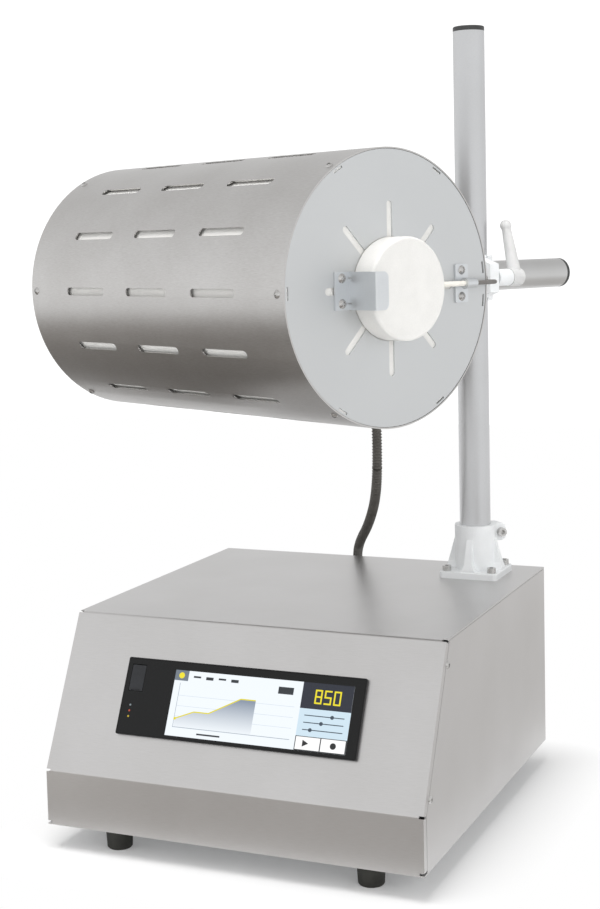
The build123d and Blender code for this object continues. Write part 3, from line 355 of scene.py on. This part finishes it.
alongDrum = (0, 0, -swing)
steelLooks = {
    # Stainless sheet ground across the front: soft level streaks
    "cabinet_steel": {"dark": "#d0cfce", "light": "#dad9d9", "rough": 0.38, "grain": (9, 0.25, 0.25),
                      "spread": 0.45, "cloud": 90, "cloudSpread": 0.25, "bump": 0.35},
    # Rolled stainless sheet ground along the cylinder: a soft band of light with fine lines across it
    "shell_steel": {"dark": "#bdbbb9", "light": "#d0cfce", "rough": 0.33, "grain": (5, 0.3, 0.3),
                    "turn": alongDrum, "spread": 0.5, "cloud": 60, "cloudSpread": 0.2, "bump": 0.5},
    # Stainless disc, fine satin: an even pale tone
    "disc_steel": {"dark": "#d7d9da", "light": "#dddfe0", "rough": 0.55, "grain": (0.5, 6, 0.5),
                   "turn": alongDrum, "spread": 0.3, "cloud": 120, "cloudSpread": 0.2, "bump": 0.2},
    # Centreless ground tube: fine rings round the post
    "post_steel": {"dark": "#c9cacb", "light": "#d4d5d7", "rough": 0.36, "grain": (2, 2, 0.3),
                   "spread": 0.35, "cloud": 50, "cloudSpread": 0.2, "bump": 0.2},
    # The same tube across the post: fine rings round the boom
    "boom_steel": {"dark": "#c6c6c5", "light": "#cfcfcf", "rough": 0.36, "grain": (2, 0.3, 2),
                   "turn": alongDrum, "spread": 0.2, "cloud": 50, "cloudSpread": 0.2, "bump": 0.2},
    # Zinc plated pressed sheet: a cool, silky grey
    "bracket_steel": {"dark": "#d8dbde", "light": "#e2e5e7", "rough": 0.42, "grain": (0.4, 3, 0.4),
                      "spread": 0.3, "cloud": 20, "cloudSpread": 0.3, "bump": 0.2},
    # Turned stainless screws: small bright glints
    "screw_steel": {"dark": "#b9b8b6", "light": "#d4d3d2", "rough": 0.25, "grain": (0.4, 0.4, 0.4),
                    "spread": 0.4, "cloud": 4, "cloudSpread": 0.4, "bump": 0.2},
    # Galvanised sheet: blotches of dull grey
    "pan_steel": {"dark": "#a9abac", "light": "#bcbec0", "rough": 0.4, "grain": (3, 3, 3),
                  "spread": 0.5, "cloud": 25, "cloudSpread": 0.5, "bump": 0.1},
    # Nickel plated brass glands: a warm, bright metal
    "nickel_plate": {"dark": "#a9a79f", "light": "#c4c2ba", "rough": 0.22, "grain": (0.5, 0.5, 2),
                     "spread": 0.3, "cloud": 8, "cloudSpread": 0.3, "bump": 0.15},
    # Resistance wire, darkened by heat: a dull brown skin
    "oxidised_wire": {"dark": "#3c3836", "light": "#5c5550", "rough": 0.5, "grain": (0.6, 0.6, 0.6),
                      "spread": 0.5, "cloud": 6, "cloudSpread": 0.4, "bump": 0.3},
}
matteLooks = {
    # Sand cast aluminium, tumbled and lacquered: pale with a faint pebble
    "cast_aluminium": {"dark": "#eff1f2", "light": "#f6f8f9", "rough": 0.55, "grain": 0.7, "cloud": 18,
                       "bump": 0.4, "metal": 0.15},
    # Glass filled nylon, moulded: a pale lever with a half matt skin
    "lever_nylon": {"dark": "#d2d2d2", "light": "#dededd", "rough": 0.45, "grain": 0.5, "cloud": 10,
                    "bump": 0.25},
    # Vacuum formed ceramic fibre: soft, dusty and fully matt
    "fibre_board": {"dark": "#e5e4e1", "light": "#ecebe8", "rough": 0.95, "grain": 1.1, "cloud": 14,
                    "bump": 0.5, "depth": 0.2},
    # Fired alumina: a creamy, faintly shining ceramic
    "alumina": {"dark": "#ece8de", "light": "#f4f1ea", "rough": 0.4, "grain": 0.4, "cloud": 12, "bump": 0.1},
    # Moulded rubber: nearly black and dull
    "foot_rubber": {"dark": "#23231f", "light": "#34342f", "rough": 0.7, "grain": 0.6, "cloud": 9,
                    "bump": 0.4},
    # Moulded polyethylene: dark with a soft sheen
    "cap_plastic": {"dark": "#2b2c2c", "light": "#3a3b3b", "rough": 0.42, "grain": 0.35, "cloud": 8,
                    "bump": 0.2},
    # Black moulded frame of the controller: deep black, smooth
    "bezel_plastic": {"dark": "#08080a", "light": "#0e0e0f", "rough": 0.3, "ior": 1.4, "grain": 0.3,
                      "cloud": 20, "bump": 0.1},
    # Soft moulded flap: dark grey, duller than the frame
    "flap_rubber": {"dark": "#1c1d20", "light": "#25272b", "rough": 0.6, "grain": 0.4, "cloud": 9,
                    "bump": 0.3},
    # Spark eroded black housing plastic: even and half matt
    "housing_plastic": {"dark": "#1f2021", "light": "#2b2c2d", "rough": 0.5, "grain": 0.5, "cloud": 12,
                        "bump": 0.3},
    # Moulded polyamide terminals: plain light grey
    "terminal_plastic": {"dark": "#b6b8b4", "light": "#c6c8c4", "rough": 0.5, "grain": 0.5, "cloud": 12,
                         "bump": 0.2},
    # Extruded rubber sheath of the lead: mid grey, dull
    "sheath_rubber": {"dark": "#6c6966", "light": "#7c7976", "rough": 0.6, "grain": 0.5, "cloud": 8,
                      "bump": 0.3},
    # Corrugated polyamide hose: dark, with a shine on each rib
    "conduit_plastic": {"dark": "#4a4743", "light": "#5d5a55", "rough": 0.42, "grain": 0.5, "cloud": 12,
                        "bump": 0.2},
}
finishes = {name: brushedSteel(name, look) for name, look in steelLooks.items()}
finishes.update({name: matteSolid(name, look) for name, look in matteLooks.items()})


def frontGlass(look):
    """Black printed cover glass, clear and smooth over a deep black."""
    material, tree = newMaterial("cover_glass")
    place = addNode(tree, "ShaderNodeTexCoord")
    smears = addNode(tree, "ShaderNodeTexNoise", {"Vector": (place, "Object"), "Detail": 4.0,
                                                  "Scale": 1 / (look["smear"] * mm)})
    rough = addNode(tree, "ShaderNodeMapRange", {"Value": (smears, "Fac"), "To Min": 0.05, "To Max": 0.16})
    shader = addNode(tree, "ShaderNodeBsdfPrincipled", {"Base Color": hexColour(look["colour"]), "IOR": 1.4,
                                                        "Roughness": (rough, "Result")})
    finishMaterial(tree, shader)
    return material


finishes["cover_glass"] = frontGlass({"colour": "#08090a", "smear": 24})

nodeFinishes = {
    "cabinet_steel": ["base_cover", "side_panel_left", "side_panel_right", "rear_panel", "panel_brackets"],
    "shell_steel": ["outer_shell", "saddle_box"],
    "disc_steel": ["end_plate_near", "end_plate_far"],
    "post_steel": ["post_tube"],
    "boom_steel": ["boom_tube", "boom_flange"],
    "bracket_steel": ["bracket_near", "bracket_far", "probe_holder", "usb_port"],
    "screw_steel": ["panel_screws", "foot_screws", "post_foot_screws", "boom_clamp_screw", "shell_screws",
                    "bracket_screws", "saddle_screws", "flange_screws", "lever_stud"],
    "pan_steel": ["floor_pan", "stiffener_plate", "terminal_rail", "relay_heat_sink"],
    "nickel_plate": ["rear_gland", "drum_gland"],
    "oxidised_wire": ["heater_windings"],
    "cast_aluminium": ["post_foot", "cross_clamp"],
    "lever_nylon": ["clamp_lever"],
    "fibre_board": ["end_boards", "insulation", "stopper_near", "stopper_far"],
    "alumina": ["heater_sleeve", "work_tube", "probe_rod", "heater_terminals"],
    "foot_rubber": ["foot_front_left", "foot_front_right", "foot_rear_left", "foot_rear_right"],
    "cap_plastic": ["post_cap", "boom_cap", "switch_rocker"],
    "bezel_plastic": ["controller_bezel"],
    "flap_rubber": ["usb_flap"],
    "housing_plastic": ["controller_housing", "mains_inlet", "switch_housing", "power_relay"],
    "terminal_plastic": ["terminal_row"],
    "sheath_rubber": ["probe_lead"],
    "conduit_plastic": ["conduit"],
    "cover_glass": ["front_glass"],
}
for finish, names in nodeFinishes.items():
    for name in names:
        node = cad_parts[name]
        node.data.materials.clear()
        node.data.materials.append(finishes[finish])
print("finishes given to", sum(len(names) for names in nodeFinishes.values()), "nodes")


# Conduit: a corrugated hose that hangs from the drum, goes over the back edge and into the rear panel

conduit = {
    "route": [(44.7, 66.7, 438), (44.7, 66.7, 388), (45.5, 68.5, 334), (38, 84, 284),
              (12, 130, 246), (-20, 184, 216), (-43, 236, 189), (-56, 274, 152),
              (-58, 280, 110), (-55, 263, 78), (-52, 232, 64), (-52, 198, 64)],
    "outerRadius": 5.0,
    "ribDepth": 1.1,
    "ribPitch": 3.0,
    "pathStep": 4.0,               # between the points that say how the hose lies
    # Each stretch gives its name, its span, the two bodies that it joins and a bend range; lengths along the
    # route
    "stretches": [
        {"name": "conduit_drum", "span": (0, 128), "bodies": ("drum", "boom"), "bend": (8, 122)},
        {"name": "conduit_boom", "span": (128, 192), "bodies": ("boom", "clamp"), "bend": (132, 188)},
        {"name": "conduit_clamp", "span": (192, 262), "bodies": ("clamp", "post"), "bend": (196, 258)},
        {"name": "conduit_cabinet", "span": (262, None), "bodies": ("post", "base"), "bend": (268, 380)},
    ],
}


def makeRoute(points):
    curve = bpy.data.curves.new("conduit_route", "CURVE")
    curve.dimensions = "3D"
    curve.resolution_u = 24
    spline = curve.splines.new("NURBS")
    spline.points.add(len(points) - 1)
    for control, (x, y, z) in zip(spline.points, points):
        control.co = (x * mm, y * mm, z * mm, 1)
    spline.order_u = 3
    spline.use_endpoint_u = True
    route = bpy.data.objects.new("conduit_route", curve)
    bpy.context.scene.collection.objects.link(route)
    return route


def hoseTree():
    """Trims a curve, divides each rib pitch in four and sweeps a circle that dips between the ribs."""
    tree = bpy.data.node_groups.new("corrugated_hose", "GeometryNodeTree")
    face = tree.interface
    face.new_socket("Geometry", in_out="INPUT", socket_type="NodeSocketGeometry")
    for label in ("Start", "End", "Outer Radius", "Rib Depth", "Rib Pitch"):
        face.new_socket(label, in_out="INPUT", socket_type="NodeSocketFloat")
    face.new_socket("Material", in_out="INPUT", socket_type="NodeSocketMaterial")
    face.new_socket("Geometry", in_out="OUTPUT", socket_type="NodeSocketGeometry")
    given = addNode(tree, "NodeGroupInput")
    cut = addNode(tree, "GeometryNodeTrimCurve", {"Curve": (given, "Geometry"), 4: (given, "Start"),
                                                  5: (given, "End")}, mode="LENGTH")
    step = addNode(tree, "ShaderNodeMath", {0: (given, "Rib Pitch"), 1: 0.25}, operation="MULTIPLY")
    even = addNode(tree, "GeometryNodeResampleCurve", {"Curve": (cut, "Curve"), "Length": (step, 0)},
                   mode="LENGTH")
    index = addNode(tree, "GeometryNodeInputIndex")
    phase = addNode(tree, "ShaderNodeMath", {0: (index, "Index"), 1: math.pi / 2}, operation="MULTIPLY")
    wave = addNode(tree, "ShaderNodeMath", {0: (phase, 0)}, operation="COSINE")
    lift = addNode(tree, "ShaderNodeMath", {0: (wave, 0), 1: 0.5, 2: -0.5}, operation="MULTIPLY_ADD")
    dip = addNode(tree, "ShaderNodeMath", {0: (lift, 0), 1: (given, "Rib Depth")}, operation="MULTIPLY")
    radius = addNode(tree, "ShaderNodeMath", {0: (given, "Outer Radius"), 1: (dip, 0)}, operation="ADD")
    ring = addNode(tree, "GeometryNodeCurvePrimitiveCircle", {"Resolution": 20, "Radius": 1.0})
    tube = addNode(tree, "GeometryNodeCurveToMesh", {"Curve": (even, "Curve"), "Scale": (radius, 0),
                                                     "Profile Curve": (ring, "Curve"), "Fill Caps": True})
    real = addNode(tree, "GeometryNodeRealizeInstances", {"Geometry": (tube, "Mesh")})
    dressed = addNode(tree, "GeometryNodeSetMaterial", {"Geometry": (real, "Geometry"),
                                                        "Material": (given, "Material")})
    addNode(tree, "NodeGroupOutput", {"Geometry": (dressed, "Geometry")})
    return tree


def setInputs(modifier, tree, values):
    for item in tree.interface.items_tree:
        if item.in_out == "INPUT" and item.name in values:
            modifier[item.identifier] = values[item.name]


def pointAlong(points, distance):
    for a, b in zip(points, points[1:]):
        run = (b - a).length
        if distance <= run:
            return a.lerp(b, distance / run)
        distance -= run
    return points[-1].copy()


def makeConduit(c):
    route = makeRoute(c["route"])
    line = [v.co.copy() for v in plainMesh(route, "route_line").vertices]
    whole = sum((b - a).length for a, b in zip(line, line[1:]))
    tree = hoseTree()
    ribs = round(whole / (c["ribPitch"] * mm))
    for part in c["stretches"]:
        start, end = part["span"][0] * mm, (part["span"][1] * mm if part["span"][1] else whole)
        holder = bpy.data.objects.new(part["name"] + "_model", route.data)
        bpy.context.scene.collection.objects.link(holder)
        modifier = holder.modifiers.new("hose", "NODES")
        modifier.node_group = tree
        setInputs(modifier, tree, {"Start": start, "End": end, "Outer Radius": c["outerRadius"] * mm,
                                   "Rib Depth": c["ribDepth"] * mm, "Rib Pitch": whole / ribs,
                                   "Material": finishes["conduit_plastic"]})
        bpy.context.view_layer.update()
        mesh = plainMesh(holder, part["name"])
        bpy.data.objects.remove(holder)
        piece = addPiece(part["name"], mesh, finishes["conduit_plastic"], None, smooth=True)
        steps = max(2, round((end - start) / (c["pathStep"] * mm)))
        path = [pointAlong(line, start + (end - start) * i / steps) for i in range(steps + 1)]
        near, far = (pointAlong(line, d * mm) for d in part["bend"])
        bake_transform(piece)
        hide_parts("conduit")
    bpy.data.objects.remove(route)
    print("conduit", round(whole, 4), "m in", len(c["stretches"]), "stretches")


makeConduit(conduit)


# Touch screen: flat lit areas on the cover glass, placed from the page's lower left corner

slope = {"middle": (0, -157, 136), "run": 66.0, "rise": 128.0, "glassTop": 3.0}
screen = {
    "corner": (-64.6, -30.6),      # the page's corner, along the slope from its middle
    "lift": 0.12,                  # from one layer of the picture to the next
    "page": {"area": (0, 167, 0, 57), "colour": "#f1f7fc"},
    "grid": {"areas": [(6, 116, 17, 17.35), (6, 116, 26, 26.35), (6, 116, 35, 35.35)], "colour": "#cfdae4"},
    "axis": {"areas": [(6, 116, 7.5, 8), (6, 6.4, 8, 46)], "colour": "#9aa6b2"},
    # Heating curve and the shaded area under it
    "curve": {"points": [(7, 15), (24, 22), (38, 22), (66, 37), (80, 37)], "foot": 8, "width": 1.0,
              "startDot": 1.2, "colour": "#e3d61e", "washTop": "#8794a6", "washFoot": "#f1f7fc"},
    "tab": {"area": (0, 13, 48, 57), "colour": "#6d7884", "dot": (6.5, 52.5, 2.7), "dotColour": "#f2e21a"},
    "icons": {"areas": [(18, 25, 51.4, 53), (30, 37, 50.4, 53), (42, 49, 51.4, 53), (54, 61, 50.4, 53),
                        (99, 113, 45, 51), (30, 52, 2.8, 4.2)], "colour": "#20272e"},
    # Seven-segment value at the right
    "values": {"area": (121, 167, 35, 57), "colour": "#131a2c", "start": (133, 39.5), "figure": (6.5, 12),
               "gap": 2, "stroke": 1.3, "lit": ("abcdefg", "acdfg", "abcdef"), "figureColour": "#f2e21a"},
    "panel": {"area": (121, 167, 12, 35), "colour": "#cfe4f1"},
    "sliders": {"span": (126, 162), "heights": (17, 23, 29), "width": 0.8, "knobs": (133, 142, 151),
                "knob": 1.7, "colour": "#3c4a58"},
    "buttons": {"behind": (121, 167, 0, 12), "behindColour": "#20262c", "colour": "#ffffff",
                "areas": [(121.8, 143.5, 0.8, 11.4), (144.5, 166.2, 0.8, 11.4)],
                "arrow": [(128, 3.2), (133.5, 6.1), (128, 9)], "dot": (155.5, 6.1, 2.7),
                "markColour": "#101418"},
    # Status lamps under the glass at the left
    "lampRadius": 0.9,
    "lamps": {"lamp_ready": (-38.4, 22.6, "#7f8a90"), "lamp_fault": (-38.4, 17.6, "#b5452e"),
              "lamp_heating": (-38.4, 12.6, "#b9a11c")},
}


def onPage(u, v, h):
    """The point that lies (u, v) from the page's corner and h above the slope's sheet, in metres."""
    length = math.hypot(slope["run"], slope["rise"])
    along, out = slope["rise"] / length, slope["run"] / length
    x, y, z = slope["middle"]
    u, v = u + screen["corner"][0], v + screen["corner"][1]
    return ((x + u) * mm, (y + v * out - h * along) * mm, (z + v * along + h * out) * mm)


def flatPiece(name, outlines, colour, level=0, material=None):
    """Thin plates on the glass, one for each outline of (u, v) points."""
    top = slope["glassTop"] + screen["lift"] * (1 + level)
    under = top - screen["lift"] * 0.8
    verts, faces = [], []
    for outline in outlines:
        first = len(verts)
        count = len(outline)
        verts += [onPage(u, v, top) for u, v in outline] + [onPage(u, v, under) for u, v in outline]
        faces.append(tuple(range(first, first + count)))
        faces.append(tuple(reversed(range(first + count, first + 2 * count))))
        for i in range(count):
            j = (i + 1) % count
            faces.append((first + i, first + count + i, first + count + j, first + j))
    mesh = bpy.data.meshes.new(name)
    mesh.from_pydata(verts, [], faces)
    mesh.update()
    addPiece(name, mesh, material or screenGlow(name + "_glow", colour), "base")


def rectangle(u0, u1, v0, v1):
    return [(u0, v0), (u1, v0), (u1, v1), (u0, v1)]


def disc(u, v, r, count=20):
    turns = [2 * math.pi * i / count for i in range(count)]
    return [(u + r * math.cos(turn), v + r * math.sin(turn)) for turn in turns]


def bar(u0, v0, u1, v1, width):
    along = Vector((u1 - u0, v1 - v0)).normalized()
    side = Vector((-along.y, along.x)) * width / 2
    return [(u0 - side.x, v0 - side.y), (u1 - side.x, v1 - side.y), (u1 + side.x, v1 + side.y),
            (u0 + side.x, v0 + side.y)]


def chartWash(top, bottom, v0, v1):
    """The shaded area under the curve, which pales towards the chart's foot."""
    material, tree = newMaterial("chart_wash_glow")
    place = addNode(tree, "ShaderNodeTexCoord")
    parts = addNode(tree, "ShaderNodeSeparateXYZ", {"Vector": (place, "Object")})
    share = addNode(tree, "ShaderNodeMapRange", {"Value": (parts, "Z"), "From Min": onPage(0, v0, 0)[2],
                                                 "From Max": onPage(0, v1, 0)[2]})
    tone = addNode(tree, "ShaderNodeMix", {"Factor": (share, "Result"), "A": hexColour(bottom),
                                           "B": hexColour(top)}, data_type="RGBA")
    shader = addNode(tree, "ShaderNodeBsdfPrincipled", {"Base Color": unlitScreen, "Roughness": 0.16,
                                                        "Emission Color": (tone, "Result"),
                                                        "Emission Strength": 1.0})
    finishMaterial(tree, shader)
    return material


def digit(u, v, w, h, t, lit):
    """Seven-segment figure with its lower left corner at (u, v); lit names the segments a to g."""
    middle = v + h / 2
    segments = {
        "a": rectangle(u, u + w, v + h - t, v + h),
        "b": rectangle(u + w - t, u + w, middle, v + h),
        "c": rectangle(u + w - t, u + w, v, middle),
        "d": rectangle(u, u + w, v, v + t),
        "e": rectangle(u, u + t, v, middle),
        "f": rectangle(u, u + t, middle, v + h),
        "g": rectangle(u, u + w, middle - t / 2, middle + t / 2),
    }
    return [segments[name] for name in lit]


def makeScreen(s):
    flatPiece("screen_page", [rectangle(*s["page"]["area"])], s["page"]["colour"])
    flatPiece("screen_grid", [rectangle(*area) for area in s["grid"]["areas"]], s["grid"]["colour"], level=1)

    curve = s["curve"]
    points, foot = curve["points"], curve["foot"]
    wash = chartWash(curve["washTop"], curve["washFoot"], foot, points[-1][1])
    flatPiece("screen_area", [[(points[0][0], foot)] + points + [(points[-1][0], foot)]], None, level=2,
              material=wash)
    strokes = [bar(*a, *b, curve["width"]) for a, b in zip(points, points[1:])]
    flatPiece("screen_line", strokes + [disc(*points[0], curve["startDot"])], curve["colour"], level=3)
    flatPiece("screen_axis", [rectangle(*area) for area in s["axis"]["areas"]], s["axis"]["colour"], level=2)

    tab = s["tab"]
    flatPiece("screen_tab", [rectangle(*tab["area"])], tab["colour"], level=1)
    flatPiece("screen_tab_mark", [disc(*tab["dot"], 12)], tab["dotColour"], level=2)
    icons = [rectangle(*area) for area in s["icons"]["areas"]]
    flatPiece("screen_icons", icons, s["icons"]["colour"], level=1)

    values = s["values"]
    (u, v), (w, h) = values["start"], values["figure"]
    flatPiece("screen_values", [rectangle(*values["area"])], values["colour"], level=1)
    pitch, stroke = w + values["gap"], values["stroke"]
    figures = [part for i, lit in enumerate(values["lit"])
               for part in digit(u + i * pitch, v, w, h, stroke, lit)]
    flatPiece("screen_figures", figures, values["figureColour"], level=2)

    sliders = s["sliders"]
    width, heights = sliders["width"], sliders["heights"]
    grooves = [rectangle(*sliders["span"], v, v + width) for v in heights]
    knobs = [disc(u, v + width / 2, sliders["knob"], 12) for u, v in zip(sliders["knobs"], heights)]
    flatPiece("screen_panel", [rectangle(*s["panel"]["area"])], s["panel"]["colour"], level=1)
    flatPiece("screen_sliders", grooves + knobs, sliders["colour"], level=2)

    buttons = s["buttons"]
    flatPiece("screen_button_gap", [rectangle(*buttons["behind"])], buttons["behindColour"], level=1)
    flatPiece("screen_buttons", [rectangle(*area) for area in buttons["areas"]], buttons["colour"], level=2)
    marks = [buttons["arrow"], disc(*buttons["dot"])]
    flatPiece("screen_button_marks", marks, buttons["markColour"], level=3)

    for name, (u, v, colour) in s["lamps"].items():
        flatPiece(name, [disc(u, v, s["lampRadius"], 12)], colour, level=1)


makeScreen(screen)
print("screen built")
